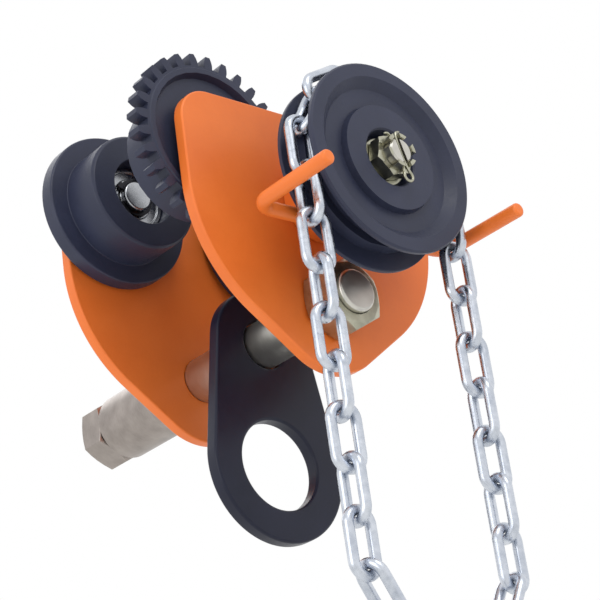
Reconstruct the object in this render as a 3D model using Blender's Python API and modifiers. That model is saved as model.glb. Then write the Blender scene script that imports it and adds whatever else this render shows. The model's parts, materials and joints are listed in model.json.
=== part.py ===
# Geared beam trolley: two side plates on four wheels, driven along a beam by a hand chain.
# Metres, +Z up. X runs along the beam, -Y is the hand wheel side.
# The origin is the middle of the surface that the wheels run on.

import math

import bmesh
import bpy
from mathutils import Matrix

# Driving dimensions: clearances and facets

SEAT_GAP = 0.0003             # between pieces that touch on the real trolley
RUNNING_GAP = 0.0004          # round shafts and beside hubs that turn
ARC_STEP = math.radians(12.0) # largest turn from one outline point to the next
FINE_TURN = 40                # facets round the hand wheel
WHEEL_TURN = 32               # facets round a track wheel
SMALL_TURN = 24               # facets round the bar, its spacers and holes
TINY_TURN = 18                # facets round stub axles and bearings
LINK_END_STEPS = 6            # straight runs in each round end of a chain link
FLANK_STEPS = 2               # straight runs in each side of a gear tooth

# Driving dimensions: side plates

PLATE_SPACING = 0.086         # clear width between the plates
PLATE_THICKNESS = 0.006
PLATE_HALF_WIDTH = 0.070
PLATE_TOP = 0.0463            # top edge above the running surface
PLATE_CORNER = 0.016          # radius of the two top corners
PLATE_TOE = 0.031             # radius of the lower end, round the load bar
PLATE_FLANK_LEAN = math.radians(53.16762) # from a level line to the way that a straight flank faces
PLATE_EDGE = 0.0008           # chamfer round the outline

# Driving dimensions: load bar and load eye

BAR_DROP = 0.0477             # bar axis below the running surface
BAR_RADIUS = 0.011
BAR_THREAD_RADIUS = 0.010
BAR_THREAD_SPARE = 0.003      # thread that stands past each nut
NUT_ACROSS_FLATS = 0.030
NUT_HEIGHT = 0.016
SPACER_RADIUS = 0.0162
SPACER_SLEEVE_LENGTH = 0.0545
SPACER_WASHER_THICKNESS = 0.003

EYE_THICKNESS = 0.007
EYE_REACH = 0.0575            # from the bar axis to the middle of the load hole
EYE_HOLE_RADIUS = 0.021
EYE_RIM = 0.015               # metal round the load hole
EYE_HEAD_RADIUS = 0.0265      # round the bar
EYE_EDGE = 0.0012             # chamfer round the outline

# Driving dimensions: track wheels

AXLE_SPAN = 0.092             # from one axle to the other, along the beam
DRIVE_DROP = 0.0274739222     # drive axis below the axles, for a tooth pitch of 2.82 mm module
TREAD_RADIUS = 0.0285
TREAD_END = 0.030             # from the plate to the wheel's inner end
WHEEL_PLATE_GAP = 0.0015
RIM_WIDTH = 0.008             # of a gear ring or a plain flange
PLAIN_FLANGE_RADIUS = 0.0375
WEB_RECESS = 0.003            # how far the web lies below the rim's outer face

AXLE_RADIUS = 0.0075          # bearing seat
AXLE_SHOULDER_RADIUS = 0.010
AXLE_FOOT_RADIUS = 0.0145     # disc welded to the plate
AXLE_FOOT_THICKNESS = 0.003
BEARING_RADIUS = 0.016
BEARING_WIDTH = 0.009
BEARING_INSET = 0.012         # from the plate to the bearing
CIRCLIP_RADIUS = 0.0102
CIRCLIP_THICKNESS = 0.0012

# Driving dimensions: gearing

TOOTH_MODULE = 0.00282        # sets the teeth's height, their pitch follows the distance of the axles
WHEEL_TEETH = 29
PINION_TEETH = 9
TOOTH_SHIFT = 0.33            # moves the pinion's teeth out and the wheels' teeth in, in modules
TOOTH_ADDENDUM = 0.85         # in modules
TOOTH_DEDENDUM = 1.25         # in modules
TOOTH_BACKLASH = 0.0005
PRESSURE_ANGLE = math.radians(20.0)
PINION_FACE = 0.009

# Driving dimensions: drive shaft and its bearing

JOURNAL_RADIUS = 0.008
BUSH_WALL = 0.002
BUSH_FLANGE = 0.0016
BOSS_RADIUS = 0.01825
BOSS_LENGTH = 0.026
SHAFT_SQUARE = 0.0125         # across the flats of the hand wheel's seat
SHAFT_THREAD_RADIUS = 0.006

CASTLE_ACROSS_FLATS = 0.018
CASTLE_HEX_HEIGHT = 0.007
CASTLE_CROWN_RADIUS = 0.008
CASTLE_CROWN_HEIGHT = 0.0045
CASTLE_SLOT = 0.004
WASHER_RADIUS = 0.0115
WASHER_THICKNESS = 0.0024
PIN_WIRE_RADIUS = 0.0008      # one half of the folded split pin
PIN_EYE_RADIUS = 0.0025
PIN_TAIL = 0.004              # length of each bent end
PIN_ANGLE = math.radians(107.0)

# Driving dimensions: hand wheel and hand chain

LINK_PITCH = 0.0215
LINK_WIRE_RADIUS = 0.0023
LINK_WIDTH = 0.0162           # outside, over both sides of a link
POCKETS = 6                   # flat links in one turn of the hand wheel, an even number
STRAND_LINKS = 9              # links in each hanging strand, an odd number
STRAND_TWIST = math.radians(-11.0)
TWIST_LINKS = 2               # links over which a strand takes up its twist, at each end

HAND_WHEEL_RADIUS = 0.045
GROOVE_PLAY = 0.0007          # beside a flat link, on each side
WHEEL_FLANGE = 0.0028
SLOT_WIDTH = 0.0062
POCKET_DEPTH = 0.0005
HUB_RADIUS = 0.0145
HUB_PROUD = 0.001
HUB_FACE_RADIUS = 0.0248
FACE_RIM_WIDTH = 0.0066
FACE_RECESS = 0.004
FACE_WALL = 0.0026            # between the recess in the face and the bottom of the chain groove
FACE_DISH = 0.00162453        # how deep the face lies beside the bottom of the chain groove
NUT_RECESS_RADIUS = 0.0133
NUT_RECESS_DEPTH = 0.008
BACK_RECESS_DEPTH = 0.012
HUB_WALL = 0.0035             # between the chain slot and the hollow behind the wheel

GUIDE_RADIUS = 0.00325
GUIDE_REACH = 0.0178          # how far the arms stand in front of the hand wheel
GUIDE_BEND = 0.008
GUIDE_CHAIN_GAP = 0.0027
GUIDE_WHEEL_GAP = 0.0029

# Sizes and places worked out from those above

plate_inner = PLATE_SPACING / 2
plate_outer = plate_inner + PLATE_THICKNESS

axle_x = AXLE_SPAN / 2
axle_z = TREAD_RADIUS
drive_z = axle_z - DRIVE_DROP
gear_distance = math.hypot(axle_x, DRIVE_DROP)
wheel_pitch_radius = gear_distance * WHEEL_TEETH / (WHEEL_TEETH + PINION_TEETH)
pinion_pitch_radius = gear_distance - wheel_pitch_radius
bar_z = -BAR_DROP

bush_radius = JOURNAL_RADIUS + RUNNING_GAP + BUSH_WALL
boss_front = -plate_outer - BOSS_LENGTH
bush_front = boss_front - BUSH_FLANGE
hub_back = bush_front - RUNNING_GAP
wheel_back = hub_back - HUB_PROUD
groove_width = LINK_WIDTH + 2 * GROOVE_PLAY
wheel_front = wheel_back - groove_width - 2 * WHEEL_FLANGE
chain_y = (wheel_front + wheel_back) / 2

link_turn = math.pi / POCKETS
link_end_radius = LINK_WIDTH / 2 - LINK_WIRE_RADIUS
upright_half = (LINK_PITCH + 2 * LINK_WIRE_RADIUS + SEAT_GAP) / 2 - link_end_radius
flat_half = LINK_PITCH - upright_half
upright_angle = math.atan2(math.sin(link_turn), flat_half / upright_half + math.cos(link_turn))
joint_radius = upright_half / math.sin(upright_angle)
upright_radius = joint_radius * math.cos(upright_angle)
flat_radius = joint_radius * math.cos(link_turn - upright_angle)
seat_radius = flat_radius - LINK_WIRE_RADIUS - SEAT_GAP
slot_radius = upright_radius - LINK_WIDTH / 2 - SEAT_GAP

recess_floor = wheel_front + NUT_RECESS_DEPTH
washer_front = recess_floor - SEAT_GAP - WASHER_THICKNESS
nut_back = washer_front - SEAT_GAP
crown_back = nut_back - CASTLE_HEX_HEIGHT
nut_front = crown_back - CASTLE_CROWN_HEIGHT
pin_y = nut_front + CASTLE_CROWN_HEIGHT / 2

guide_y = wheel_back + GUIDE_WHEEL_GAP + GUIDE_RADIUS
guide_x = upright_radius + LINK_WIDTH / 2 + GUIDE_CHAIN_GAP + GUIDE_RADIUS
guide_z = drive_z - BOSS_RADIUS - SEAT_GAP - GUIDE_RADIUS


# Helpers: scene, materials and objects


def clear_scene():
    for item in list(bpy.data.objects):
        bpy.data.objects.remove(item, do_unlink=True)


def new_collection(name):
    group = bpy.data.collections.new(name)
    bpy.context.scene.collection.children.link(group)
    return group


def new_material(name, colour, roughness, metallic):
    material = bpy.data.materials.new(name)
    material.use_nodes = True
    shader = material.node_tree.nodes["Principled BSDF"]
    shader.inputs["Base Color"].default_value = (*colour, 1.0)
    shader.inputs["Roughness"].default_value = roughness
    shader.inputs["Metallic"].default_value = metallic
    material.diffuse_color = (*colour, 1.0)
    return material


def add_object(name, data, place=None):
    item = bpy.data.objects.new(name, data)
    parts.objects.link(item)
    item.matrix_world = place or Matrix.Identity(4)
    return item


def facing_front(x=0.0, y=0.0, z=0.0, turn=0.0):
    """Local XY becomes the world's XZ plane, and local +Z points to -Y."""
    return Matrix.Translation((x, y, z)) @ Matrix.Rotation(math.pi / 2, 4, "X") @ Matrix.Rotation(turn, 4, "Z")


def facing_back(x=0.0, y=0.0, z=0.0):
    """As facing_front, turned half round the vertical, for the copies on the rear plate."""
    return Matrix.Translation((x, y, z)) @ Matrix.Rotation(math.pi, 4, "Z") @ Matrix.Rotation(math.pi / 2, 4, "X")


def settle(item, smooth_angle=math.radians(32.0)):
    """Give a piece the mesh that its modifiers or curve make, welded and shaded."""
    bpy.context.view_layer.update()
    evaluated = item.evaluated_get(bpy.context.evaluated_depsgraph_get())
    mesh = bpy.data.meshes.new_from_object(evaluated)
    shape = bmesh.new()
    shape.from_mesh(mesh)
    bmesh.ops.remove_doubles(shape, verts=shape.verts, dist=0.000002)
    shape.to_mesh(mesh)
    shape.free()
    mesh.shade_smooth()
    mesh.set_sharp_from_angle(angle=smooth_angle)
    name = item.name
    place = item.matrix_world.copy()
    bpy.data.objects.remove(item, do_unlink=True)
    mesh.name = name
    return add_object(name, mesh, place)


def combine(item, other, operation):
    """Cut or join with another object, which becomes a hidden cutter."""
    for group in list(other.users_collection):
        group.objects.unlink(other)
    cutters.objects.link(other)
    other.hide_render = True
    other.display_type = "WIRE"
    modifier = item.modifiers.new(operation.title(), "BOOLEAN")
    modifier.operation = operation
    modifier.object = other


def paint(item, material):
    item.data.materials.clear()
    item.data.materials.append(material)
    return item


# Helpers: shapes


def turned(name, profile, facets, place, closed=False):
    """Spin a profile of (station, radius) points round the local Z axis.

    Stations run away from the viewer, so local Z is minus the station. The outer side
    comes first, front to back, and a closed profile then returns along its bore.
    """
    mesh = bpy.data.meshes.new(name)
    points = [(radius, 0.0, -station) for station, radius in profile]
    edges = [(index, index + 1) for index in range(len(points) - 1)]
    if closed:
        edges.append((len(points) - 1, 0))
    mesh.from_pydata(points, edges, [])
    item = add_object(name, mesh, place)
    screw = item.modifiers.new("Screw", "SCREW")
    screw.steps = facets
    screw.render_steps = facets
    screw.use_merge_vertices = True
    screw.merge_threshold = 0.00001
    return settle(item)


def arc(centre_x, centre_z, radius, start, end):
    """Points along an arc, both ends included."""
    steps = max(1, math.ceil(abs(end - start) / ARC_STEP - 0.001))
    angles = [start + (end - start) * index / steps for index in range(steps + 1)]
    return [(centre_x + radius * math.cos(a), centre_z + radius * math.sin(a)) for a in angles]


def circle(centre_x, centre_z, radius, facets=SMALL_TURN):
    angles = [2 * math.pi * index / facets for index in range(facets)]
    return [(centre_x + radius * math.cos(a), centre_z + radius * math.sin(a)) for a in angles]


def flat(name, outlines, thickness, place, chamfer=0.0):
    """Extrude closed outlines, holes among them, centred on the local XY plane."""
    curve = bpy.data.curves.new(name, "CURVE")
    curve.dimensions = "2D"
    curve.fill_mode = "BOTH"
    curve.extrude = thickness / 2 - chamfer
    curve.bevel_depth = chamfer
    curve.bevel_resolution = 0
    curve.offset = -chamfer
    for outline in outlines:
        spline = curve.splines.new("POLY")
        spline.points.add(len(outline) - 1)
        for point, (x, y) in zip(spline.points, outline):
            point.co = (x, y, 0.0, 1.0)
        spline.use_cyclic_u = True
    return settle(add_object(name, curve, place))


def wire(name, points, radius, place, closed=False, resolution=2):
    """A round wire along a run of points."""
    curve = bpy.data.curves.new(name, "CURVE")
    curve.dimensions = "3D"
    curve.bevel_depth = radius
    curve.bevel_resolution = resolution
    curve.use_fill_caps = True
    spline = curve.splines.new("POLY")
    spline.points.add(len(points) - 1)
    for point, position in zip(spline.points, points):
        point.co = (*position, 1.0)
    spline.use_cyclic_u = closed
    return settle(add_object(name, curve, place))


def tube(name, front, back, outer, inner, place, chamfer=0.0004):
    """A plain sleeve, washer or bush from one station to another."""
    profile = [(front, outer - chamfer), (front + chamfer, outer), (back - chamfer, outer)]
    profile += [(back, outer - chamfer), (back, inner), (front, inner)]
    return turned(name, profile, SMALL_TURN, place, closed=True)


def box(name, size, centre, place):
    mesh = bpy.data.meshes.new(name)
    shape = bmesh.new()
    bmesh.ops.create_cube(shape, size=1.0, matrix=Matrix.Translation(centre) @ Matrix.Diagonal((*size, 1.0)))
    shape.to_mesh(mesh)
    shape.free()
    return add_object(name, mesh, place)


def rod(name, front, back, radius, place, facets=SMALL_TURN):
    """A plain cylinder between two stations, also used to cut round holes."""
    return turned(name, [(front, 0.0), (front, radius), (back, radius), (back, 0.0)], facets, place)


def hexagon(across_flats, turn):
    """Outline of a hexagon with a corner at the angle turn."""
    corner = across_flats / 2 / math.cos(math.pi / 6)
    angles = [turn + math.pi / 3 * index for index in range(6)]
    return [(corner * math.cos(a), corner * math.sin(a)) for a in angles]


# Side plates


def egg(top_z, top_radius, bottom_z, bottom_radius):
    """Where the straight flanks touch two circles, one above the other."""
    slope = (bottom_radius - top_radius) / (top_z - bottom_z)
    return math.asin(max(-1.0, min(1.0, slope)))


def plate_outline():
    """The side arcs run from the widest level, at the drive axis, to where they touch the flanks."""
    lean = PLATE_FLANK_LEAN
    drop = (drive_z - bar_z) * math.sin(lean)
    side_radius = (PLATE_TOE + drop - PLATE_HALF_WIDTH * math.cos(lean)) / (1 - math.cos(lean))
    side_x = PLATE_HALF_WIDTH - side_radius
    corner_x = PLATE_HALF_WIDTH - PLATE_CORNER
    corner_z = PLATE_TOP - PLATE_CORNER
    points = arc(side_x, drive_z, side_radius, -lean, 0.0)
    points += arc(corner_x, corner_z, PLATE_CORNER, 0.0, math.pi / 2)
    points += arc(-corner_x, corner_z, PLATE_CORNER, math.pi / 2, math.pi)
    points += arc(-side_x, drive_z, side_radius, math.pi, math.pi + lean)
    points += arc(0.0, bar_z, PLATE_TOE, math.pi + lean, 2 * math.pi - lean)
    return points


def make_side_plates():
    middle = (plate_inner + plate_outer) / 2
    for name, side in (("side_plate_front", -1), ("side_plate_rear", 1)):
        plate = flat(name, [plate_outline()], PLATE_THICKNESS, facing_front(y=side * middle), PLATE_EDGE)
        station = side * middle
        reach = PLATE_THICKNESS
        hole = rod(name + "_bar_hole", station - reach, station + reach,
                   BAR_THREAD_RADIUS + SEAT_GAP, facing_front(z=bar_z))
        combine(plate, hole, "DIFFERENCE")
        if side < 0:
            hole = rod(name + "_bush_hole", station - reach, station + reach,
                       bush_radius + SEAT_GAP, facing_front(z=drive_z))
            combine(plate, hole, "DIFFERENCE")
        paint(settle(plate), orange_paint)


# Load bar, its nuts and spacers


def rear_stack():
    """Front and back stations of the washer, the spacer sleeve and the nut on the rear plate."""
    stations = []
    front = plate_outer + SEAT_GAP
    for length in (SPACER_WASHER_THICKNESS, SPACER_SLEEVE_LENGTH, NUT_HEIGHT):
        stations.append((front, front + length))
        front += length + SEAT_GAP
    return stations


def make_load_bar():
    rear_end = rear_stack()[-1][1] + BAR_THREAD_SPARE
    front_end = -plate_outer - SEAT_GAP - NUT_HEIGHT - BAR_THREAD_SPARE
    shoulder = plate_inner - SEAT_GAP
    chamfer = 0.001
    profile = [(front_end, 0.0), (front_end, BAR_THREAD_RADIUS - chamfer)]
    profile += [(front_end + chamfer, BAR_THREAD_RADIUS), (-shoulder, BAR_THREAD_RADIUS)]
    profile += [(-shoulder, BAR_RADIUS), (shoulder, BAR_RADIUS), (shoulder, BAR_THREAD_RADIUS)]
    profile += [(rear_end - chamfer, BAR_THREAD_RADIUS), (rear_end, BAR_THREAD_RADIUS - chamfer), (rear_end, 0.0)]
    paint(turned("load_bar", profile, SMALL_TURN, facing_front(z=bar_z)), zinc_steel)


def make_hexagon_nut(name, front, across_flats, height, bore, place, turn, crown=None):
    """A nut with both ends chamfered round, and a slotted crown in front where one is given."""
    middle = front + height / 2
    nut = flat(name, [hexagon(across_flats, turn)], height, place @ Matrix.Translation((0.0, 0.0, -middle)))
    nut.data.transform(Matrix.Translation((0.0, 0.0, -middle)))
    nut.matrix_world = place
    corner = across_flats / 2 / math.cos(math.pi / 6)
    drop = (corner - across_flats / 2 * 0.95) * math.tan(math.radians(30.0))
    profile = [(front - SEAT_GAP, 0.0), (front - SEAT_GAP, across_flats / 2 * 0.95)]
    profile += [(front, across_flats / 2 * 0.95), (front + drop, corner + SEAT_GAP)]
    profile += [(front + height - drop, corner + SEAT_GAP), (front + height, across_flats / 2 * 0.95)]
    profile += [(front + height + SEAT_GAP, across_flats / 2 * 0.95), (front + height + SEAT_GAP, 0.0)]
    combine(nut, turned(name + "_chamfer", profile, SMALL_TURN, place), "INTERSECT")
    end = front
    if crown:
        end = front - crown[1]
        combine(nut, rod(name + "_crown", end, front + height / 2, crown[0], place), "UNION")
    combine(nut, rod(name + "_bore", end - height, front + 2 * height, bore, place), "DIFFERENCE")
    if crown:
        for index in range(3):
            turn = Matrix.Rotation(PIN_ANGLE + index * math.pi / 3, 4, "Z")
            depth = crown[1] + SEAT_GAP
            slot = box(name + "_slot_%d" % index, (4 * crown[0], CASTLE_SLOT, 2 * depth), (0, 0, -end), place @ turn)
            slot.data.transform(Matrix.Translation((0.0, 0.0, -SEAT_GAP)))
            combine(nut, slot, "DIFFERENCE")
    return settle(nut)


def make_bar_nuts():
    bore = BAR_THREAD_RADIUS + SEAT_GAP
    places = (("bar_nut_front", -plate_outer - SEAT_GAP - NUT_HEIGHT), ("bar_nut_rear", rear_stack()[-1][0]))
    for name, front in places:
        nut = make_hexagon_nut(name, front, NUT_ACROSS_FLATS, NUT_HEIGHT, bore, facing_front(z=bar_z), math.pi / 6)
        paint(nut, zinc_steel)


def make_spacers():
    bore = BAR_THREAD_RADIUS + SEAT_GAP
    for name, (front, back) in zip(("bar_washer_rear", "spacer_sleeve"), rear_stack()):
        paint(tube(name, front, back, SPACER_RADIUS, bore, facing_front(z=bar_z)), zinc_steel)


# Load eye


def make_load_eye():
    rim = EYE_HOLE_RADIUS + EYE_RIM
    touch = egg(0.0, EYE_HEAD_RADIUS, -EYE_REACH, rim)
    outline = arc(0.0, 0.0, EYE_HEAD_RADIUS, touch, math.pi - touch)
    outline += arc(0.0, -EYE_REACH, rim, math.pi - touch, 2 * math.pi + touch)
    place = facing_front(z=bar_z)
    eye = flat("load_eye", [outline], EYE_THICKNESS, place, EYE_EDGE)
    reach = EYE_THICKNESS
    combine(eye, rod("load_eye_bar_hole", -reach, reach, BAR_RADIUS + RUNNING_GAP, place), "DIFFERENCE")
    half = EYE_THICKNESS / 2
    wide = EYE_HOLE_RADIUS + EYE_EDGE
    profile = [(-reach, 0.0), (-reach, wide + reach - half), (-half, wide), (-half + EYE_EDGE, EYE_HOLE_RADIUS)]
    profile += [(-station, radius) for station, radius in reversed(profile)]
    hole = turned("load_eye_hole", profile, WHEEL_TURN, facing_front(z=bar_z - EYE_REACH))
    combine(eye, hole, "DIFFERENCE")
    paint(settle(eye), black_iron)


# Gear teeth


def involute(angle):
    return math.tan(angle) - angle


def tooth_outline(teeth, pitch_radius, shift, turn):
    """Involute teeth in order round the circle, the first centred on the angle turn."""
    base_radius = pitch_radius * math.cos(PRESSURE_ANGLE)
    tip_radius = pitch_radius + TOOTH_MODULE * (TOOTH_ADDENDUM + shift)
    root_radius = pitch_radius + TOOTH_MODULE * (shift - TOOTH_DEDENDUM)
    half_tooth = math.pi / 2 / teeth + 2 * shift * math.tan(PRESSURE_ANGLE) / teeth
    half_tooth -= TOOTH_BACKLASH / 4 / pitch_radius
    flank_start = max(base_radius, root_radius)
    flank = []
    if root_radius < base_radius:
        flank.append((root_radius, half_tooth + involute(PRESSURE_ANGLE)))
    for index in range(FLANK_STEPS + 1):
        radius = flank_start + (tip_radius - flank_start) * index / FLANK_STEPS
        lean = involute(math.acos(min(1.0, base_radius / radius)))
        flank.append((radius, half_tooth + involute(PRESSURE_ANGLE) - lean))
    points = []
    for tooth in range(teeth):
        middle = turn + 2 * math.pi * tooth / teeth
        points += [(radius * math.cos(middle - half), radius * math.sin(middle - half)) for radius, half in flank]
        points += [(radius * math.cos(middle + half), radius * math.sin(middle + half))
                   for radius, half in reversed(flank)]
    return points


def meshing_turn(side):
    """Turn of a geared wheel whose teeth sit in the pinion's spaces at rest."""
    to_wheel = math.atan2(axle_z - drive_z, side * axle_x)
    pinion_pitch = 2 * math.pi / PINION_TEETH
    from_tooth = (PIN_ANGLE - to_wheel) % pinion_pitch
    rolled = from_tooth * PINION_TEETH / WHEEL_TEETH
    return to_wheel + math.pi - rolled + math.pi / WHEEL_TEETH


# Track wheels, with stations counted from the side plate's inner face


def from_plate(profile):
    return [(station - plate_inner, radius) for station, radius in profile]


def wheel_profile(rim_radius, rim_start, rim_end, step_radius):
    """Outline of a wheel's section, from the web's face round the tread to the bore."""
    web_face = rim_start + WEB_RECESS
    chamfer = 0.0012
    throat = AXLE_SHOULDER_RADIUS + 0.002
    points = [(rim_start, step_radius), (rim_start, rim_radius - chamfer / 2), (rim_start + chamfer / 2, rim_radius)]
    points += [(rim_end - chamfer / 2, rim_radius), (rim_end, rim_radius - chamfer / 2), (rim_end, TREAD_RADIUS)]
    points += [(TREAD_END - chamfer, TREAD_RADIUS), (TREAD_END, TREAD_RADIUS - chamfer)]
    points += [(TREAD_END, BEARING_RADIUS + SEAT_GAP), (BEARING_INSET, BEARING_RADIUS + SEAT_GAP)]
    points += [(BEARING_INSET, throat), (web_face, throat), (web_face, step_radius - WEB_RECESS / 2)]
    return from_plate(points)


def make_geared_wheel(name, x, side):
    shift = -TOOTH_SHIFT
    root_radius = wheel_pitch_radius + TOOTH_MODULE * (shift - TOOTH_DEDENDUM)
    rim_start = WHEEL_PLATE_GAP
    rim_end = WHEEL_PLATE_GAP + RIM_WIDTH
    inset = 0.0004
    body_radius = root_radius - 0.0008
    profile = wheel_profile(body_radius, rim_start, rim_end, body_radius - 0.003)
    place = facing_front(x=x, z=axle_z)
    wheel = turned(name, profile, WHEEL_TURN, place, closed=True)
    middle = (rim_start + rim_end) / 2 - plate_inner
    outlines = [tooth_outline(WHEEL_TEETH, wheel_pitch_radius, shift, meshing_turn(side))]
    outlines.append(circle(0.0, 0.0, body_radius - 0.001, WHEEL_TURN))
    ring = flat(name + "_teeth", outlines, RIM_WIDTH - 2 * inset, facing_front(x=x, y=middle, z=axle_z))
    combine(wheel, ring, "UNION")
    paint(settle(wheel), black_iron)


def make_plain_wheel(name, x):
    rim_end = WHEEL_PLATE_GAP + RIM_WIDTH
    profile = wheel_profile(PLAIN_FLANGE_RADIUS, WHEEL_PLATE_GAP, rim_end, PLAIN_FLANGE_RADIUS - 0.006)
    wheel = turned(name, profile, WHEEL_TURN, facing_back(x=x, z=axle_z), closed=True)
    paint(wheel, black_iron)


def make_stub_axle(name, place):
    foot_front = SEAT_GAP
    foot_back = foot_front + AXLE_FOOT_THICKNESS
    end = BEARING_INSET + BEARING_WIDTH + 2 * SEAT_GAP + CIRCLIP_THICKNESS + 0.0025
    groove_front = BEARING_INSET + BEARING_WIDTH + SEAT_GAP
    groove_back = groove_front + CIRCLIP_THICKNESS + 2 * SEAT_GAP
    groove = AXLE_RADIUS - 0.0006
    seat = BEARING_INSET - SEAT_GAP
    profile = [(foot_front, 0.0), (foot_front, AXLE_FOOT_RADIUS), (foot_back, AXLE_SHOULDER_RADIUS)]
    profile += [(seat, AXLE_SHOULDER_RADIUS), (seat, AXLE_RADIUS), (groove_front, AXLE_RADIUS)]
    profile += [(groove_front, groove), (groove_back, groove), (groove_back, AXLE_RADIUS)]
    profile += [(end - 0.0008, AXLE_RADIUS), (end, AXLE_RADIUS - 0.0008), (end, 0.0)]
    paint(turned(name, from_plate(profile), TINY_TURN, place), bright_steel)


def make_bearing(name, place):
    """A sealed ball bearing. Its seal lies below the two rings on the open side."""
    inner = AXLE_RADIUS + SEAT_GAP
    front = BEARING_INSET + SEAT_GAP
    back = BEARING_INSET + BEARING_WIDTH
    depth = 0.0008
    wall = 0.0022
    profile = [(front, BEARING_RADIUS), (back, BEARING_RADIUS), (back, BEARING_RADIUS - wall)]
    profile += [(back - depth, BEARING_RADIUS - wall), (back - depth, inner + wall), (back, inner + wall)]
    profile += [(back, inner), (front, inner)]
    paint(turned(name, from_plate(profile), TINY_TURN, place, closed=True), bright_steel)


def make_circlip(name, place):
    """A ring that is open at one side, with two lugs at its ends."""
    middle = BEARING_INSET + BEARING_WIDTH + 2 * SEAT_GAP + CIRCLIP_THICKNESS / 2 - plate_inner
    inner = AXLE_RADIUS - 0.0006 + SEAT_GAP
    opening = math.radians(24.0)
    lug = math.radians(44.0)
    shoulder = CIRCLIP_RADIUS - 0.0010
    outline = arc(0.0, 0.0, CIRCLIP_RADIUS, opening, lug)
    outline += arc(0.0, 0.0, shoulder, lug, 2 * math.pi - lug)
    outline += arc(0.0, 0.0, CIRCLIP_RADIUS, 2 * math.pi - lug, 2 * math.pi - opening)
    outline += arc(0.0, 0.0, inner, 2 * math.pi - opening, opening)
    clip = flat(name, [outline], CIRCLIP_THICKNESS, place @ Matrix.Translation((0.0, 0.0, -middle)))
    clip.data.transform(Matrix.Translation((0.0, 0.0, -middle)))
    clip.matrix_world = place
    paint(clip, dark_steel)


def make_track_wheels():
    for side, word in ((-1, "left"), (1, "right")):
        x = side * axle_x
        make_geared_wheel("geared_wheel_" + word, x, side)
        make_plain_wheel("plain_wheel_" + word, x)
        for row, facing in (("front", facing_front), ("rear", facing_back)):
            place = facing(x=x, z=axle_z)
            make_stub_axle("stub_axle_%s_%s" % (row, word), place)
            make_bearing("wheel_bearing_%s_%s" % (row, word), place)
            make_circlip("axle_circlip_%s_%s" % (row, word), place)


# Drive: pinion shaft in its bush and boss


def make_pinion_shaft():
    place = facing_front(z=drive_z)
    tip = nut_front + 0.0005
    chamfer = 0.0008
    seat_front = recess_floor + SEAT_GAP
    pinion_front = -plate_inner + RUNNING_GAP
    pinion_back = pinion_front + PINION_FACE
    profile = [(tip, 0.0), (tip, SHAFT_THREAD_RADIUS - chamfer), (tip + chamfer, SHAFT_THREAD_RADIUS)]
    profile += [(seat_front + SHAFT_SQUARE / 4, SHAFT_THREAD_RADIUS), (seat_front + SHAFT_SQUARE / 4, SHAFT_SQUARE / 2 * 0.9)]
    profile += [(hub_back + SEAT_GAP, SHAFT_SQUARE / 2 * 0.9), (hub_back + SEAT_GAP, JOURNAL_RADIUS)]
    profile += [(pinion_back - chamfer, JOURNAL_RADIUS), (pinion_back - chamfer, 0.0)]
    shaft = turned("pinion_shaft", profile, SMALL_TURN, place)
    square_length = hub_back + 0.001 - seat_front
    square_middle = seat_front + square_length / 2
    square = box("pinion_shaft_square", (SHAFT_SQUARE, SHAFT_SQUARE, square_length), (0, 0, -square_middle), place)
    stock = rod("pinion_shaft_stock", seat_front - SHAFT_SQUARE, 0.0, JOURNAL_RADIUS - SEAT_GAP, place)
    combine(square, stock, "INTERSECT")
    combine(shaft, settle(square), "UNION")
    outline = tooth_outline(PINION_TEETH, pinion_pitch_radius, TOOTH_SHIFT, PIN_ANGLE)
    teeth = flat("pinion_shaft_teeth", [outline], PINION_FACE,
                 facing_front(y=(pinion_front + pinion_back) / 2, z=drive_z))
    combine(shaft, teeth, "UNION")
    reach = SHAFT_THREAD_RADIUS * 2
    bore = rod("pinion_shaft_pin_hole", -reach, reach, 2 * PIN_WIRE_RADIUS + 2 * SEAT_GAP,
               pin_place() @ Matrix.Rotation(math.pi / 2, 4, "Y"), 12)
    combine(shaft, bore, "DIFFERENCE")
    paint(settle(shaft), zinc_steel)


def make_shaft_bearing():
    place = facing_front(z=drive_z)
    bore = JOURNAL_RADIUS + RUNNING_GAP
    flange = bush_radius + 0.003
    lip = boss_front - SEAT_GAP
    back = -plate_inner - SEAT_GAP
    profile = [(bush_front, flange), (lip, flange), (lip, bush_radius), (back, bush_radius), (back, bore), (bush_front, bore)]
    paint(turned("shaft_bush", profile, SMALL_TURN, place, closed=True), bronze)
    profile = [(boss_front, BOSS_RADIUS - 0.001), (boss_front + 0.001, BOSS_RADIUS)]
    profile += [(-plate_outer - SEAT_GAP, BOSS_RADIUS), (-plate_outer - SEAT_GAP, bush_radius + SEAT_GAP)]
    profile += [(boss_front, bush_radius + SEAT_GAP)]
    paint(turned("bearing_boss", profile, SMALL_TURN + 8, place, closed=True), orange_paint)


# Hand wheel and what holds it


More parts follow.
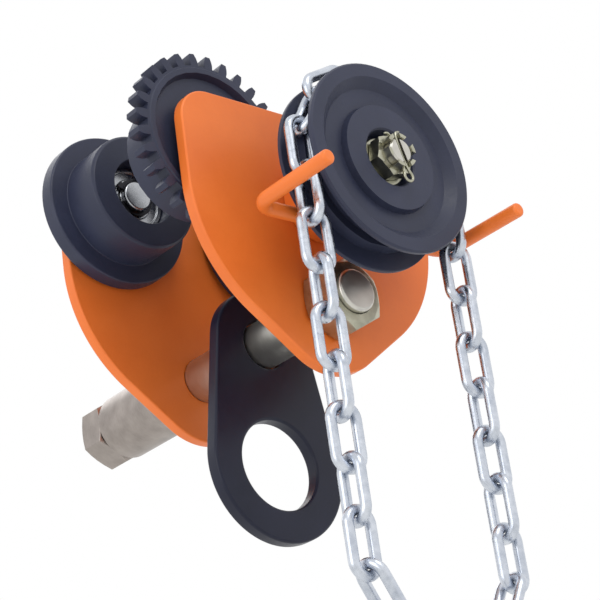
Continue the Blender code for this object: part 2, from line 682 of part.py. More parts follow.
def make_hand_wheel():
    place = facing_front(z=drive_z)
    edge = 0.0008
    front_inner = wheel_front + WHEEL_FLANGE
    back_inner = wheel_back - WHEEL_FLANGE
    rim = HAND_WHEEL_RADIUS - FACE_RIM_WIDTH
    face_floor = seat_radius - FACE_WALL
    slot = SLOT_WIDTH / 2
    hollow = slot_radius - HUB_WALL
    hollow_floor = wheel_back - BACK_RECESS_DEPTH
    profile = [(recess_floor, 0.0), (recess_floor, NUT_RECESS_RADIUS - edge), (wheel_front + 2 * edge, NUT_RECESS_RADIUS)]
    profile += [(wheel_front + edge, NUT_RECESS_RADIUS + edge), (wheel_front + edge, HUB_FACE_RADIUS)]
    profile += [(wheel_front + FACE_RECESS, HUB_FACE_RADIUS + edge), (wheel_front + FACE_RECESS, face_floor)]
    profile += [(wheel_front + FACE_DISH, seat_radius), (wheel_front, rim)]
    profile += [(wheel_front, HAND_WHEEL_RADIUS - edge), (wheel_front + edge, HAND_WHEEL_RADIUS)]
    profile += [(front_inner - edge / 2, HAND_WHEEL_RADIUS), (front_inner, HAND_WHEEL_RADIUS - edge)]
    profile += [(front_inner, seat_radius), (chain_y - slot, seat_radius), (chain_y - slot, slot_radius)]
    profile += [(chain_y + slot, slot_radius), (chain_y + slot, seat_radius), (back_inner, seat_radius)]
    profile += [(back_inner, HAND_WHEEL_RADIUS - edge), (back_inner + edge / 2, HAND_WHEEL_RADIUS)]
    profile += [(wheel_back - edge, HAND_WHEEL_RADIUS), (wheel_back, HAND_WHEEL_RADIUS - edge)]
    profile += [(wheel_back, hollow), (hollow_floor, hollow - edge), (hollow_floor, HUB_RADIUS + edge)]
    profile += [(hub_back, HUB_RADIUS), (hub_back, 0.0)]
    wheel = turned("hand_wheel", profile, FINE_TURN, place)
    for index in range(POCKETS):
        angle = math.pi / 2 + index * 2 * math.pi / POCKETS
        pocket = box("hand_wheel_pocket_%d" % index, (2 * LINK_WIRE_RADIUS, LINK_PITCH * 0.8, groove_width - SEAT_GAP),
                     (seat_radius - POCKET_DEPTH + LINK_WIRE_RADIUS, 0.0, -chain_y), place @ Matrix.Rotation(angle, 4, "Z"))
        combine(wheel, pocket, "DIFFERENCE")
    square = SHAFT_SQUARE + 2 * SEAT_GAP
    depth = hub_back - recess_floor
    middle = (hub_back + recess_floor) / 2
    hole = box("hand_wheel_square", (square, square, 2 * depth), (0, 0, -middle), place)
    combine(wheel, hole, "DIFFERENCE")
    paint(settle(wheel), black_iron)


def pin_place():
    """Frame of the split pin: local X runs along the pin, at right angles to the shaft."""
    return facing_front(y=pin_y, z=drive_z, turn=PIN_ANGLE)


def make_wheel_fixings():
    place = facing_front(z=drive_z)
    bore = SHAFT_THREAD_RADIUS + SEAT_GAP
    washer = tube("wheel_washer", washer_front, washer_front + WASHER_THICKNESS, WASHER_RADIUS, bore, place)
    paint(washer, zinc_steel)
    crown = (CASTLE_CROWN_RADIUS, CASTLE_CROWN_HEIGHT)
    slots_on_flats = PIN_ANGLE - math.pi / 6
    nut = make_hexagon_nut("castle_nut", crown_back, CASTLE_ACROSS_FLATS, CASTLE_HEX_HEIGHT, bore, place,
                           slots_on_flats, crown)
    paint(nut, zinc_steel)
    reach = CASTLE_CROWN_RADIUS + SEAT_GAP + PIN_WIRE_RADIUS
    half = PIN_WIRE_RADIUS + SEAT_GAP / 2
    eye_x = -reach - PIN_EYE_RADIUS
    points = [(reach, half + PIN_TAIL, 0.0), (reach, half, 0.0), (-reach, half, 0.0)]
    for angle in (60.0, 100.0, 140.0, 180.0, 220.0, 260.0, 300.0):
        turn = math.radians(angle)
        points.append((eye_x + PIN_EYE_RADIUS * math.cos(turn), PIN_EYE_RADIUS * math.sin(turn), 0.0))
    points += [(-reach, -half, 0.0), (reach, -half, 0.0), (reach, -half - PIN_TAIL, 0.0)]
    paint(wire("split_pin", points, PIN_WIRE_RADIUS, pin_place(), resolution=1), zinc_steel)


# Hand chain


def link_points():
    """Middle line of a link's wire, in its own XY plane with its length along X."""
    points = []
    for centre, start in ((upright_half, -math.pi / 2), (-upright_half, math.pi / 2)):
        for index in range(LINK_END_STEPS + 1):
            angle = start + math.pi * index / LINK_END_STEPS
            points.append((centre + link_end_radius * math.cos(angle), link_end_radius * math.sin(angle), 0.0))
    return points


def chain_bend(centre_z, start):
    """Links between the two strands, clockwise round a wheel-sized bend. The first lies flat."""
    links = []
    for index in range(1, POCKETS):
        angle = start - link_turn * index
        upright = index % 2 == 0
        radius = upright_radius if upright else flat_radius
        roll = 0.0 if upright else math.pi / 2
        links.append((radius * math.cos(angle), centre_z + radius * math.sin(angle), angle - math.pi / 2, roll))
    return links


def chain_strand(x):
    """Hanging links, top to bottom. Away from its two ends the strand is turned about its own line."""
    links = []
    for index in range(STRAND_LINKS):
        from_end = min(index, STRAND_LINKS - 1 - index, TWIST_LINKS)
        roll = 0.0 if index % 2 == 0 else math.pi / 2
        roll += STRAND_TWIST * from_end / TWIST_LINKS
        links.append((x, drive_z - LINK_PITCH * index, math.pi / 2, roll))
    return links


def chain_links():
    """Place, heading and roll of each link, clockwise from the left strand's lowest link."""
    links = list(reversed(chain_strand(-upright_radius)))
    links += chain_bend(drive_z, math.pi)
    links += chain_strand(upright_radius)
    links += chain_bend(drive_z - LINK_PITCH * (STRAND_LINKS - 1), 0.0)
    return links


def make_hand_chain():
    shape = wire("chain_link_shape", link_points(), LINK_WIRE_RADIUS, Matrix.Identity(4), closed=True, resolution=1)
    mesh = shape.data
    bpy.data.objects.remove(shape, do_unlink=True)
    mesh.materials.append(galvanised_steel)
    pivot = bpy.data.objects.new("hand_chain_pivot", None)
    parts.objects.link(pivot)
    pivot.matrix_world = facing_front(y=chain_y, z=drive_z)
    bpy.context.view_layer.update()
    for number, (x, z, heading, roll) in enumerate(chain_links(), start=1):
        place = Matrix.Translation((x, chain_y, z)) @ Matrix.Rotation(-heading, 4, "Y")
        place = place @ Matrix.Rotation(math.pi / 2 + roll, 4, "X")
        link = add_object("chain_link_%02d" % number, mesh, place)
        link.parent = pivot
        link.matrix_parent_inverse = pivot.matrix_world.inverted()


# Chain guide


def make_chain_guide():
    """A rod bent to a U, its back under the boss and an arm beside each strand."""
    tip_y = wheel_front - GUIDE_REACH
    points = [(-guide_x, tip_y, 0.0)]
    for side in (-1, 1):
        centre_x = side * (guide_x - GUIDE_BEND)
        for index in range(5):
            angle = math.pi / 2 * index / 4
            if side < 0:
                angle = math.pi / 2 - angle
            points.append((centre_x + side * GUIDE_BEND * math.sin(angle),
                           guide_y - GUIDE_BEND + GUIDE_BEND * math.cos(angle), 0.0))
    points.append((guide_x, tip_y, 0.0))
    guide = wire("chain_guide", points, GUIDE_RADIUS, Matrix.Translation((0.0, 0.0, guide_z)))
    paint(guide, orange_paint)


# The model

clear_scene()
parts = new_collection("geared_beam_trolley")
cutters = new_collection("cutters")

orange_paint = new_material("orange_paint", (0.80, 0.22, 0.05), 0.42, 0.0)
black_iron = new_material("black_iron", (0.035, 0.037, 0.048), 0.45, 0.3)
zinc_steel = new_material("zinc_steel", (0.62, 0.61, 0.60), 0.32, 1.0)
bright_steel = new_material("bright_steel", (0.55, 0.56, 0.58), 0.3, 1.0)
dark_steel = new_material("dark_steel", (0.10, 0.10, 0.11), 0.4, 0.8)
galvanised_steel = new_material("galvanised_steel", (0.74, 0.76, 0.80), 0.28, 1.0)
bronze = new_material("bronze", (0.55, 0.36, 0.14), 0.35, 1.0)

make_side_plates()
make_load_bar()
make_bar_nuts()
make_spacers()
make_load_eye()
make_track_wheels()
make_pinion_shaft()
make_shaft_bearing()
make_hand_wheel()
make_wheel_fixings()
make_hand_chain()
make_chain_guide()
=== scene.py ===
# Looks of a geared beam trolley: finishes, smooth shapes, hand chain, floor, light and camera.
# Metres, +Z up. The beam runs along X and the hand wheel is on the -Y side.
import json
import math

import bmesh
import bpy
import numpy as np
from mathutils import Matrix, Vector

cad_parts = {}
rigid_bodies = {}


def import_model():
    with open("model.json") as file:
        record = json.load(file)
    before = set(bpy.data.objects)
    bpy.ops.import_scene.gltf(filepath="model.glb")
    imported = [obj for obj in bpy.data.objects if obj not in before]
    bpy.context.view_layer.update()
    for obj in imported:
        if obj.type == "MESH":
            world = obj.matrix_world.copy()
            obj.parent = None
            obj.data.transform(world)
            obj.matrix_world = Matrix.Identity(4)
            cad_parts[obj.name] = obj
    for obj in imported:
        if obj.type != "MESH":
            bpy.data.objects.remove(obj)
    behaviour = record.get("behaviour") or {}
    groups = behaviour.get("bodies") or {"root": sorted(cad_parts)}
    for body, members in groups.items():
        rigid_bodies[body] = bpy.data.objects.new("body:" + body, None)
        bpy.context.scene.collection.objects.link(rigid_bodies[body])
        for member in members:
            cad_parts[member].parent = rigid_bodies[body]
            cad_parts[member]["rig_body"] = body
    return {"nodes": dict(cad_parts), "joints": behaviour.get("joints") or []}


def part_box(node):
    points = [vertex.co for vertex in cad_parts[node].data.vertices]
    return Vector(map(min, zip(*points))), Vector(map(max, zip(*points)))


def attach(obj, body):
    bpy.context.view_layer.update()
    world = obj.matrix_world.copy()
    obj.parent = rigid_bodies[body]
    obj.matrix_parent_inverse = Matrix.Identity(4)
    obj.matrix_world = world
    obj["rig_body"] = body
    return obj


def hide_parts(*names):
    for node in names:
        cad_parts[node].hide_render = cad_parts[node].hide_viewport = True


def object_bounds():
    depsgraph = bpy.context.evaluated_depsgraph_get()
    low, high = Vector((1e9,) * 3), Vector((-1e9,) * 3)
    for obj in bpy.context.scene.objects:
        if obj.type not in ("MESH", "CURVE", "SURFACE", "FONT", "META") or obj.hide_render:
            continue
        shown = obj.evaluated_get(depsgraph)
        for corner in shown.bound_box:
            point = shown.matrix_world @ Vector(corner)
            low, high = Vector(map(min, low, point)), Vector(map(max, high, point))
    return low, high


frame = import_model()
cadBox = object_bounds()
nodes = frame["nodes"]
jointAt = {joint["name"]: Vector(joint["pos_m"]) for joint in frame["joints"]}
wheelAxis = jointAt["hand_wheel_spin"]
barAxis = jointAt["load_eye_swing"]
wheelPlaces = [(row, side) for row in ("front", "rear") for side in ("left", "right")]

millimetre = 0.001
weldGap = 0.000002  # points closer than this are one point
axisPlay = 0.000005  # how far past the axis a half section may reach
arcStep = math.radians(2.5)  # largest turn between two points of an outline
turnedSteps = 96  # facets round a turned piece
sharpFrom = math.radians(28)  # edges that bend more than this are rounded


# Materials

def linear(hexColour):
    # from screen values to the linear ones that the shaders take
    channels = [int(hexColour[start:start + 2], 16) / 255 for start in (1, 3, 5)]
    return tuple(value / 12.92 if value <= 0.04045 else ((value + 0.055) / 1.055) ** 2.4
                 for value in channels) + (1.0,)


def addNode(tree, kind, settings, links=None):
    node = tree.nodes.new(kind)
    for key, value in settings.items():
        if isinstance(key, int) or key in node.inputs:
            node.inputs[key].default_value = value
        else:
            setattr(node, key, value)
    for key, socket in (links or {}).items():
        tree.links.new(socket, node.inputs[key])
    return node


# the stretch of a noise's values that tone and gloss are spread over
toneRange = (0.35, 0.65)
glossRange = (0.3, 0.7)


def makeFinish(name, look):
    finish = bpy.data.materials.new(name)
    finish.use_nodes = True
    tree = finish.node_tree
    shader = tree.nodes["Principled BSDF"]
    for socket, value in look["shader"].items():
        shader.inputs[socket].default_value = value
    place = addNode(tree, "ShaderNodeTexCoord", {}).outputs["Object"]
    squeezed = addNode(tree, "ShaderNodeMapping", {"Scale": (1.0, look["stretch"], 1.0)}, {"Vector": place})
    grain = addNode(tree, "ShaderNodeTexNoise", {"Scale": 1 / (look["grain"] * millimetre), "Detail": 3.0},
                    {"Vector": squeezed.outputs["Vector"]}).outputs["Fac"]
    blotch = addNode(tree, "ShaderNodeTexNoise", {"Scale": 1 / (look["blotch"] * millimetre), "Detail": 4.0},
                     {"Vector": place}).outputs["Fac"]
    both = addNode(tree, "ShaderNodeMath", {"operation": "MULTIPLY_ADD", 1: look["grainShare"]},
                   {0: grain, 2: blotch}).outputs[0]
    tone = addNode(tree, "ShaderNodeMapRange",
                   {"From Min": toneRange[0], "From Max": toneRange[1] + look["grainShare"]},
                   {"Value": both}).outputs["Result"]
    colour = addNode(tree, "ShaderNodeMix",
                     {"data_type": "RGBA", 6: linear(look["dark"]), 7: linear(look["light"])}, {0: tone})
    tree.links.new(colour.outputs[2], shader.inputs["Base Color"])
    smooth, rough = look["roughness"]
    gloss = addNode(tree, "ShaderNodeMapRange",
                    {"From Min": glossRange[0], "From Max": glossRange[1], "To Min": smooth, "To Max": rough},
                    {"Value": grain})
    tree.links.new(gloss.outputs["Result"], shader.inputs["Roughness"])
    bump = addNode(tree, "ShaderNodeBump", {"Strength": 1.0, "Distance": look["height"] * millimetre},
                   {"Height": grain})
    tree.links.new(bump.outputs["Normal"], shader.inputs["Normal"])
    return finish


# grain, blotch and height in mm, stretch squeezes the grain along Y into turning marks
finishes = {
    # baked orange enamel on steel plate: even colour, soft gloss and a faint orange peel
    "orangeEnamel": {
        "light": "#EE7C34", "dark": "#DF6C28", "roughness": (0.34, 0.46), "grain": 1.6, "blotch": 45,
        "grainShare": 0.15, "height": 0.012, "stretch": 1.0,
        "shader": {"Metallic": 0.0, "Specular IOR Level": 0.35, "Coat Weight": 0.08, "Coat Roughness": 0.2}},
    # sand-cast iron under a satin blue-black paint: the mould's grit still shows
    "castIronPaint": {
        "light": "#33374D", "dark": "#25293B", "roughness": (0.34, 0.50), "grain": 1.1, "blotch": 22,
        "grainShare": 0.5, "height": 0.035, "stretch": 1.0,
        "shader": {"Metallic": 0.0, "Specular IOR Level": 0.35}},
    # rolled plate, flame cut, in the same paint: smoother and darker
    "blackPlatePaint": {
        "light": "#1C1F33", "dark": "#131627", "roughness": (0.28, 0.40), "grain": 2.2, "blotch": 30,
        "grainShare": 0.3, "height": 0.014, "stretch": 1.0,
        "shader": {"Metallic": 0.0, "Specular IOR Level": 0.3}},
    # zinc plated turned steel, passivated pale: a dull pinkish grey with fine turning marks
    "zincPlate": {
        "light": "#B4ABA5", "dark": "#867E79", "roughness": (0.30, 0.46), "grain": 3.0, "blotch": 9,
        "grainShare": 0.6, "height": 0.006, "stretch": 6.0, "shader": {"Metallic": 1.0}},
    # small zinc fixings straight from the barrel: paler and greener
    "barrelZinc": {
        "light": "#C3C2B0", "dark": "#9C9A88", "roughness": (0.28, 0.38), "grain": 1.4, "blotch": 6,
        "grainShare": 0.3, "height": 0.002, "stretch": 1.0, "shader": {"Metallic": 1.0}},
    # drawn and polished round bar: soft reflections and faint marks round it
    "polishedBar": {
        "light": "#DAD7D0", "dark": "#BDBAB2", "roughness": (0.33, 0.40), "grain": 4.0, "blotch": 14,
        "grainShare": 0.3, "height": 0.0004, "stretch": 8.0, "shader": {"Metallic": 1.0}},
    # ground bearing rings and axle seats
    "groundSteel": {
        "light": "#C6C8CC", "dark": "#9EA1A6", "roughness": (0.18, 0.30), "grain": 3.0, "blotch": 10,
        "grainShare": 0.5, "height": 0.004, "stretch": 6.0, "shader": {"Metallic": 1.0}},
    # blackened spring steel of the circlips
    "springSteel": {
        "light": "#4A4A4E", "dark": "#333338", "roughness": (0.34, 0.46), "grain": 0.8, "blotch": 5,
        "grainShare": 0.4, "height": 0.004, "stretch": 1.0, "shader": {"Metallic": 1.0}},
    # bright electro-galvanised chain wire: cool, clean and shiny, a little uneven
    "chainZinc": {
        "light": "#E1E5EC", "dark": "#A9B1BF", "roughness": (0.22, 0.36), "grain": 2.2, "blotch": 7,
        "grainShare": 0.5, "height": 0.004, "stretch": 1.0, "shader": {"Metallic": 1.0}},
    # sintered bronze of the shaft bush
    "sinteredBronze": {
        "light": "#C79A58", "dark": "#A67A3C", "roughness": (0.32, 0.44), "grain": 0.7, "blotch": 6,
        "grainShare": 0.5, "height": 0.008, "stretch": 1.0, "shader": {"Metallic": 1.0}},
}
material = {name: makeFinish(name, look) for name, look in finishes.items()}
print("materials made:", len(material))


# Shape helpers

def cadShape(node):
    shape = bmesh.new()
    shape.from_mesh(nodes[node].data)
    bmesh.ops.remove_doubles(shape, verts=shape.verts, dist=weldGap)
    return shape


def addPiece(name, shape, standsFor, finish, edge=0.0, segments=2):
    # rides with the body of the first CAD node that it stands for
    mesh = bpy.data.meshes.new(name)
    shape.to_mesh(mesh)
    shape.free()
    mesh.shade_smooth()
    mesh.materials.append(material[finish])
    piece = bpy.data.objects.new(name, mesh)
    bpy.context.scene.collection.objects.link(piece)
    if edge:
        bevel = piece.modifiers.new("roundedEdges", "BEVEL")
        bevel.width = edge
        bevel.segments = segments
        bevel.limit_method = "ANGLE"
        bevel.angle_limit = sharpFrom
    even = piece.modifiers.new("evenShading", "WEIGHTED_NORMAL")
    even.weight = 100  # over 50, so that large faces count most
    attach(piece, nodes[standsFor[0]]["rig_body"])
    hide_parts(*standsFor)
    return piece


def turnedFrom(node, axis):
    # the CAD piece's half section, spun round the axis again in finer steps
    shape = cadShape(node)
    for normal in ((1, 0, 0), (0, 0, 1)):
        everything = shape.verts[:] + shape.edges[:] + shape.faces[:]
        cut = bmesh.ops.bisect_plane(shape, geom=everything, dist=weldGap,
                                     plane_co=(axis.x, 0, axis.z), plane_no=normal)
    section = {item for item in cut["geom_cut"] if isinstance(item, bmesh.types.BMEdge)
               and min(vert.co.x for vert in item.verts) > axis.x - axisPlay}
    others = [item for item in shape.edges if item not in section]
    bmesh.ops.delete(shape, geom=shape.faces[:], context="FACES_ONLY")
    bmesh.ops.delete(shape, geom=others, context="EDGES")
    bmesh.ops.delete(shape, geom=[vert for vert in shape.verts if not vert.link_edges], context="VERTS")
    bmesh.ops.spin(shape, geom=shape.verts[:] + shape.edges[:], cent=(axis.x, 0, axis.z), axis=(0, 1, 0),
                   angle=2 * math.pi, steps=turnedSteps, use_merge=True, use_duplicate=False)
    bmesh.ops.remove_doubles(shape, verts=shape.verts, dist=weldGap)
    bmesh.ops.recalc_face_normals(shape, faces=shape.faces)
    return shape


def cutBoxes(shape, boxes):
    # takes boxes, each a size and a place, out of a closed shape
    tools = bmesh.new()
    for size, place in boxes:
        bmesh.ops.create_cube(tools, size=1.0, matrix=place @ Matrix.Diagonal((*size, 1.0)))
    holders = []
    for bit, name in ((shape, "cutBody"), (tools, "cutTool")):
        mesh = bpy.data.meshes.new(name)
        bit.to_mesh(mesh)
        bit.free()
        holders.append(bpy.data.objects.new(name, mesh))
        bpy.context.scene.collection.objects.link(holders[-1])
    cut = holders[0].modifiers.new("cut", "BOOLEAN")
    cut.operation = "DIFFERENCE"
    cut.object = holders[1]
    bpy.context.view_layer.update()
    cutBody = holders[0].evaluated_get(bpy.context.evaluated_depsgraph_get())
    result = bpy.data.meshes.new_from_object(cutBody)
    whole = bmesh.new()
    whole.from_mesh(result)
    for mesh in [result] + [holder.data for holder in holders]:
        bpy.data.meshes.remove(mesh)
    bmesh.ops.remove_doubles(whole, verts=whole.verts, dist=weldGap)
    return whole


def arcPoints(x, z, radius, start, end):
    count = max(2, math.ceil(abs(end - start) / arcStep))
    angles = [start + (end - start) * index / count for index in range(count + 1)]
    return [(x + radius * math.cos(angle), z + radius * math.sin(angle)) for angle in angles]


def wholeCircle(axis, radius):
    return arcPoints(axis.x, axis.z, radius, 0, 2 * math.pi)[:-1]


def flankAngle(height, above, below):
    # where straight flanks touch two circles, one above the other
    return math.asin((below - above) / height)


def outlineRing(shape, outline, side, inset, y):
    # side is 1 for the outside and -1 for a hole, both listed against the clock
    corners = []
    for before, here, after in zip(outline[-1:] + outline[:-1], outline, outline[1:] + outline[:1]):
        along = Vector((after[0] - before[0], after[1] - before[1])).normalized() * inset * side
        corners.append(shape.verts.new((here[0] - along.y, y, here[1] + along.x)))
    return [shape.edges.new(pair) for pair in zip(corners, corners[1:] + corners[:1])]


def slab(outlines, front, back, edge, steps=4):
    # plate between two Ys with its edges rounded: the outside outline first, then the holes
    angles = [math.pi / 2 * index / steps for index in range(steps + 1)]
    sections = [(edge * (1 - math.sin(angle)), front + edge * (1 - math.cos(angle))) for angle in angles]
    sections += [(inset, front + back - y) for inset, y in reversed(sections)]
    shape = bmesh.new()
    ends = ([], [])
    for outline, side in zip(outlines, [1] + [-1] * len(outlines)):
        rings = [outlineRing(shape, outline, side, inset, y) for inset, y in sections]
        for here, there in zip(rings, rings[1:]):
            bmesh.ops.bridge_loops(shape, edges=here + there)
        ends[0].extend(rings[0])
        ends[1].extend(rings[-1])
    for flatEnd in ends:
        bmesh.ops.triangle_fill(shape, edges=flatEnd, use_beauty=True)
    bmesh.ops.recalc_face_normals(shape, faces=shape.faces)
    return shape


# A wire starts as a ring of edges, which is pushed along and bent about Z

def startRing(shape, centre, facing, radius, sides):
    turn = facing.to_track_quat("Z", "Y").to_matrix().to_4x4()
    made = bmesh.ops.create_circle(shape, segments=sides, radius=radius,
                                   matrix=Matrix.Translation(centre) @ turn)
    return [edge for edge in shape.edges if set(edge.verts) <= set(made["verts"])]


def pushRing(shape, ring, move):
    pushed = bmesh.ops.extrude_edge_only(shape, edges=ring)["geom"]
    fresh = {item for item in pushed if isinstance(item, bmesh.types.BMVert)}
    bmesh.ops.translate(shape, vec=move, verts=list(fresh))
    return [edge for edge in shape.edges if set(edge.verts) <= fresh]


def bendRing(shape, ring, centre, angle, steps):
    ringVerts = list({vert for edge in ring for vert in edge.verts})
    bent = bmesh.ops.spin(shape, geom=ring + ringVerts, cent=centre, axis=(0, 0, 1), angle=angle, steps=steps)
    return [item for item in bent["geom_last"] if isinstance(item, bmesh.types.BMEdge)]


# Side plates, cut from 6 mm plate

sidePlate = {"halfWidth": 0.070, "top": 0.0463, "corner": 0.016, "toe": 0.031, "edge": 0.0009,
             "bushHole": 0.0107, "barHole": 0.0103}


def plateOutline(size):
    touch = flankAngle(wheelAxis.z - barAxis.z, size["halfWidth"], size["toe"])
    cornerX = size["halfWidth"] - size["corner"]
    cornerZ = size["top"] - size["corner"]
    outline = arcPoints(0, wheelAxis.z, size["halfWidth"], touch, 0)
    outline += arcPoints(cornerX, cornerZ, size["corner"], 0, math.pi / 2)
    outline += arcPoints(-cornerX, cornerZ, size["corner"], math.pi / 2, math.pi)
    outline += arcPoints(0, wheelAxis.z, size["halfWidth"], math.pi, math.pi - touch)
    outline += arcPoints(0, barAxis.z, size["toe"], math.pi - touch, 2 * math.pi + touch)
    return outline


for side in ("front", "rear"):
    holes = [wholeCircle(barAxis, sidePlate["barHole"])]
    if side == "front":
        holes.append(wholeCircle(wheelAxis, sidePlate["bushHole"]))
    low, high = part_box("side_plate_" + side)
    plate = slab([plateOutline(sidePlate)] + holes, low.y, high.y, sidePlate["edge"])
    addPiece("sidePlate" + side.title(), plate, ["side_plate_" + side], "orangeEnamel")
print("side plates made")


# Load eye, flame cut from plate, its edges ground round

loadEye = {"headRadius": 0.0265, "reach": 0.0575, "rim": 0.036, "holeRadius": 0.021, "barHole": 0.0114,
           "edge": 0.0013}


def makeLoadEye(size):
    centre = Vector((0, 0, barAxis.z - size["reach"]))
    touch = flankAngle(size["reach"], size["headRadius"], size["rim"])
    outline = arcPoints(0, barAxis.z, size["headRadius"], touch, math.pi - touch)
    outline += arcPoints(0, centre.z, size["rim"], math.pi - touch, 2 * math.pi + touch)
    holes = [wholeCircle(barAxis, size["barHole"]), wholeCircle(centre, size["holeRadius"])]
    low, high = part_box("load_eye")
    return slab([outline] + holes, low.y, high.y, size["edge"])


addPiece("loadEye", makeLoadEye(loadEye), ["load_eye"], "blackPlatePaint")
print("load eye made")


# Turned pieces, spun again from their own sections: name, CAD node, axis, finish, edge radius

turnedPieces = [
    ("wheelWasher", "wheel_washer", wheelAxis, "barrelZinc", 0.0003),
    ("shaftBush", "shaft_bush", wheelAxis, "sinteredBronze", 0.0003),
    ("bearingBoss", "bearing_boss", wheelAxis, "orangeEnamel", 0.0006),
    ("loadBar", "load_bar", barAxis, "polishedBar", 0.0004),
    ("rearWasher", "bar_washer_rear", barAxis, "zincPlate", 0.0003),
    ("spacerSleeve", "spacer_sleeve", barAxis, "zincPlate", 0.0004),
]
for row, side in wheelPlaces:
    tag = row.title() + side.title()
    place = row + "_" + side
    axis = jointAt[place + "_spin"]
    turnedPieces.append(("stubAxle" + tag, "stub_axle_" + place, axis, "groundSteel", 0.0003))
    turnedPieces.append(("wheelBearing" + tag, "wheel_bearing_" + place, axis, "groundSteel", 0.0003))
    if row == "rear":
        plain = "plainWheel" + side.title()
        turnedPieces.append((plain, "plain_wheel_" + side, axis, "castIronPaint", 0.0006))
for name, node, axis, finish, edge in turnedPieces:
    addPiece(name, turnedFrom(node, axis), [node], finish, edge)
print("turned pieces made:", len(turnedPieces))


# Hand wheel: a pocket for each flat link and a square bore for the shaft

handWheel = {"pockets": 6, "pocketWide": 0.0046, "pocketLong": 0.0172, "pocketFloor": 0.0361,
             "grooveWide": 0.0172, "bore": 0.01316, "edge": 0.0005}


def handWheelCuts(size):
    low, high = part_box("hand_wheel")
    linkYs = [vert.co.y for vert in nodes["chain_link_01"].data.vertices]
    middle = Vector((wheelAxis.x, sum(linkYs) / len(linkYs), wheelAxis.z))
    wide = size["pocketWide"]
    cuts = [((size["bore"], 2 * (high.y - low.y), size["bore"]), Matrix.Translation(middle))]
    for index in range(size["pockets"]):
        turn = Matrix.Rotation(math.pi * (2 * index + 1) / size["pockets"], 4, "Y")
        outward = Matrix.Translation((size["pocketFloor"] + wide / 2, 0, 0))
        pocket = (wide, size["grooveWide"], size["pocketLong"])
        cuts.append((pocket, Matrix.Translation(middle) @ turn @ outward))
    return cuts


wheel = cutBoxes(turnedFrom("hand_wheel", wheelAxis), handWheelCuts(handWheel))
addPiece("handWheel", wheel, ["hand_wheel"], "castIronPaint", handWheel["edge"])
print("hand wheel made")


# Pieces that keep their CAD shape, merged and with rounded edges: name, CAD node, finish, edge radius

workedPieces = [
    ("gearedWheelLeft", "geared_wheel_left", "castIronPaint", 0.0004),
    ("gearedWheelRight", "geared_wheel_right", "castIronPaint", 0.0004),
    ("pinionShaft", "pinion_shaft", "polishedBar", 0.0002),
    ("castleNut", "castle_nut", "barrelZinc", 0.0002),
    ("barNutFront", "bar_nut_front", "barrelZinc", 0.0003),
    ("barNutRear", "bar_nut_rear", "zincPlate", 0.0003),
]
for row, side in wheelPlaces:
    clip = "axleCirclip" + row.title() + side.title()
    workedPieces.append((clip, "axle_circlip_" + row + "_" + side, "springSteel", 0.0001))
for name, node, finish, edge in workedPieces:
    addPiece(name, cadShape(node), [node], finish, edge)

splitPin = {"smoothing": 2}  # how many times the wire's facets are split
pin = addPiece("splitPin", cadShape("split_pin"), ["split_pin"], "barrelZinc")
rounding = pin.modifiers.new("roundWire", "SUBSURF")
rounding.levels = splitPin["smoothing"]
rounding.render_levels = splitPin["smoothing"]
print("nuts, gears and fixings made:", len(workedPieces) + 1)


# Chain guide, a rod bent to a U, both arms pointing to -Y

guideRod = {"radius": 0.00325, "bend": 0.008, "sides": 24, "bendSteps": 12, "endRound": 0.0013}


def makeGuide(size):
    low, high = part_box("chain_guide")
    rodZ = (low.z + high.z) / 2
    outX = high.x - size["radius"]
    backY = high.y - size["radius"]
    bend = size["bend"]
    rod = bmesh.new()
    ring = startRing(rod, Vector((-outX, low.y, rodZ)), Vector((0, 1, 0)), size["radius"], size["sides"])
    ring = pushRing(rod, ring, (0, backY - bend - low.y, 0))
    ring = bendRing(rod, ring, (bend - outX, backY - bend, rodZ), -math.pi / 2, size["bendSteps"])
    ring = pushRing(rod, ring, (2 * (outX - bend), 0, 0))
    ring = bendRing(rod, ring, (outX - bend, backY - bend, rodZ), -math.pi / 2, size["bendSteps"])
    pushRing(rod, ring, (0, low.y - backY + bend, 0))
    bmesh.ops.holes_fill(rod, edges=[edge for edge in rod.edges if edge.is_boundary], sides=0)
    bmesh.ops.recalc_face_normals(rod, faces=rod.faces)
    return rod


addPiece("chainGuide", makeGuide(guideRod), ["chain_guide"], "orangeEnamel", guideRod["endRound"], 4)
print("chain guide made")


# Hand chain: one welded link, set where each CAD link is

chainLink = {"wire": 0.0023, "endRadius": 0.0058, "endCentre": 0.0074, "sides": 16, "endSteps": 16,
             "seam": 0.00001}


def makeLink(size):
    link = bmesh.new()
    corner = Vector((-size["endCentre"], -size["endRadius"], 0))
    along = 2 * size["endCentre"]
    ring = startRing(link, corner, Vector((1, 0, 0)), size["wire"], size["sides"])
    for direction in (1, -1):
        ring = pushRing(link, ring, (direction * along, 0, 0))
        endCentre = (direction * size["endCentre"], 0, 0)
        ring = bendRing(link, ring, endCentre, math.pi, size["endSteps"])
    bmesh.ops.remove_doubles(link, verts=link.verts, dist=size["seam"])  # joins the wire's two ends
    bmesh.ops.recalc_face_normals(link, faces=link.faces)
    mesh = bpy.data.meshes.new("oneLink")
    link.to_mesh(mesh)
    link.free()
    return mesh


def linkPlace(node):
    # the CAD link's own centre and main directions: length, width and thickness
    corners = np.array([vert.co[:] for vert in nodes[node].data.vertices])
    corners = np.unique(corners.round(6), axis=0)
    centre = corners.mean(axis=0)
    length, width, _ = np.linalg.svd(corners - centre, full_matrices=False)[2]
    turn = Matrix((length, width, np.cross(length, width))).transposed().to_4x4()
    return Matrix.Translation(centre) @ turn


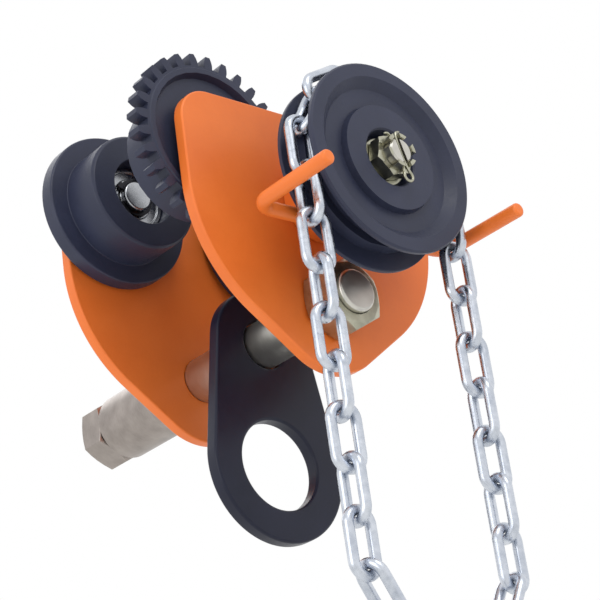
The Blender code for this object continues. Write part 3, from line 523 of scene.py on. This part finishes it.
linkNodes = sorted(name for name in nodes if name.startswith("chain_link_"))
oneLink = makeLink(chainLink)
chain = bmesh.new()
for node in linkNodes:
    before = len(chain.verts)
    chain.from_mesh(oneLink)
    chain.verts.ensure_lookup_table()
    bmesh.ops.transform(chain, matrix=linkPlace(node), verts=chain.verts[before:])
bmesh.ops.recalc_face_normals(chain, faces=chain.faces)
addPiece("handChain", chain, linkNodes, "chainZinc")
bpy.data.meshes.remove(oneLink)
print("chain links made:", len(linkNodes))


# Pale floor, white surroundings and soft lights

studio = {"floorZ": -1.6, "floorSize": 8.0, "floorColour": "#F0F0EE", "floorRoughness": 0.9,
          "skyColour": "#FFFFFF", "skyStrength": 1.0}


def makeStudio(size):
    grid = bmesh.new()
    bmesh.ops.create_grid(grid, x_segments=1, y_segments=1, size=size["floorSize"],
                          matrix=Matrix.Translation((0, 0, size["floorZ"])))
    mesh = bpy.data.meshes.new("studioFloor")
    grid.to_mesh(mesh)
    grid.free()
    matte = bpy.data.materials.new("mattePaper")
    matte.use_nodes = True
    shader = matte.node_tree.nodes["Principled BSDF"]
    shader.inputs["Base Color"].default_value = linear(size["floorColour"])
    shader.inputs["Roughness"].default_value = size["floorRoughness"]
    mesh.materials.append(matte)
    floor = bpy.data.objects.new("studioFloor", mesh)
    bpy.context.scene.collection.objects.link(floor)
    world = bpy.data.worlds.new("whiteStudio")
    world.use_nodes = True
    sky = world.node_tree.nodes["Background"]
    sky.inputs["Color"].default_value = linear(size["skyColour"])
    sky.inputs["Strength"].default_value = size["skyStrength"]
    bpy.context.scene.world = world
    bpy.context.scene.view_settings.view_transform = "Standard"  # keeps the white paper white


# name, place, width and watts: each lamp faces the trolley's middle
lamps = [
    ("keySoftbox", (-0.5, -1.5, 1.6), 0.9, 11),
    ("leftSoftbox", (-1.8, -0.2, 0.1), 1.2, 7),
    ("backSoftbox", (0.3, 1.6, 1.2), 1.2, 5),
]


def makeLamps():
    middle = (cadBox[0] + cadBox[1]) / 2
    for name, place, width, watts in lamps:
        lamp = bpy.data.lights.new(name, "AREA")
        lamp.size = width
        lamp.energy = watts
        holder = bpy.data.objects.new(name, lamp)
        holder.location = place
        holder.rotation_euler = (middle - Vector(place)).to_track_quat("-Z", "Y").to_euler()
        bpy.context.scene.collection.objects.link(holder)


# Camera, below the beam and looking up, with the photograph's slight roll: angles in degrees,
# lens and sensor in mm, place and nearest in metres

view = {"azimuth": 43.1, "elevation": 23.3, "roll": 8.3, "lens": 109.69, "sensor": 36.0, "nearest": 0.01,
        "place": (-0.51122, -0.57728, -0.35927)}


def makeCamera(size):
    azimuth, elevation, roll = (math.radians(size[key]) for key in ("azimuth", "elevation", "roll"))
    level = math.cos(elevation)
    ahead = Vector((math.sin(azimuth) * level, math.cos(azimuth) * level, math.sin(elevation)))
    right = Vector((math.cos(azimuth), -math.sin(azimuth), 0))
    up = right.cross(ahead)
    imageRight = right * math.cos(roll) - up * math.sin(roll)
    imageUp = right * math.sin(roll) + up * math.cos(roll)
    lens = bpy.data.cameras.new("photoCamera")
    lens.lens = size["lens"]
    lens.sensor_width = size["sensor"]
    lens.clip_start = size["nearest"]
    camera = bpy.data.objects.new("photoCamera", lens)
    turn = Matrix((imageRight, imageUp, -ahead)).transposed().to_4x4()
    camera.matrix_world = Matrix.Translation(size["place"]) @ turn
    bpy.context.scene.collection.objects.link(camera)
    bpy.context.scene.camera = camera


makeStudio(studio)
makeLamps()
makeCamera(view)
print("floor, lights and camera made")
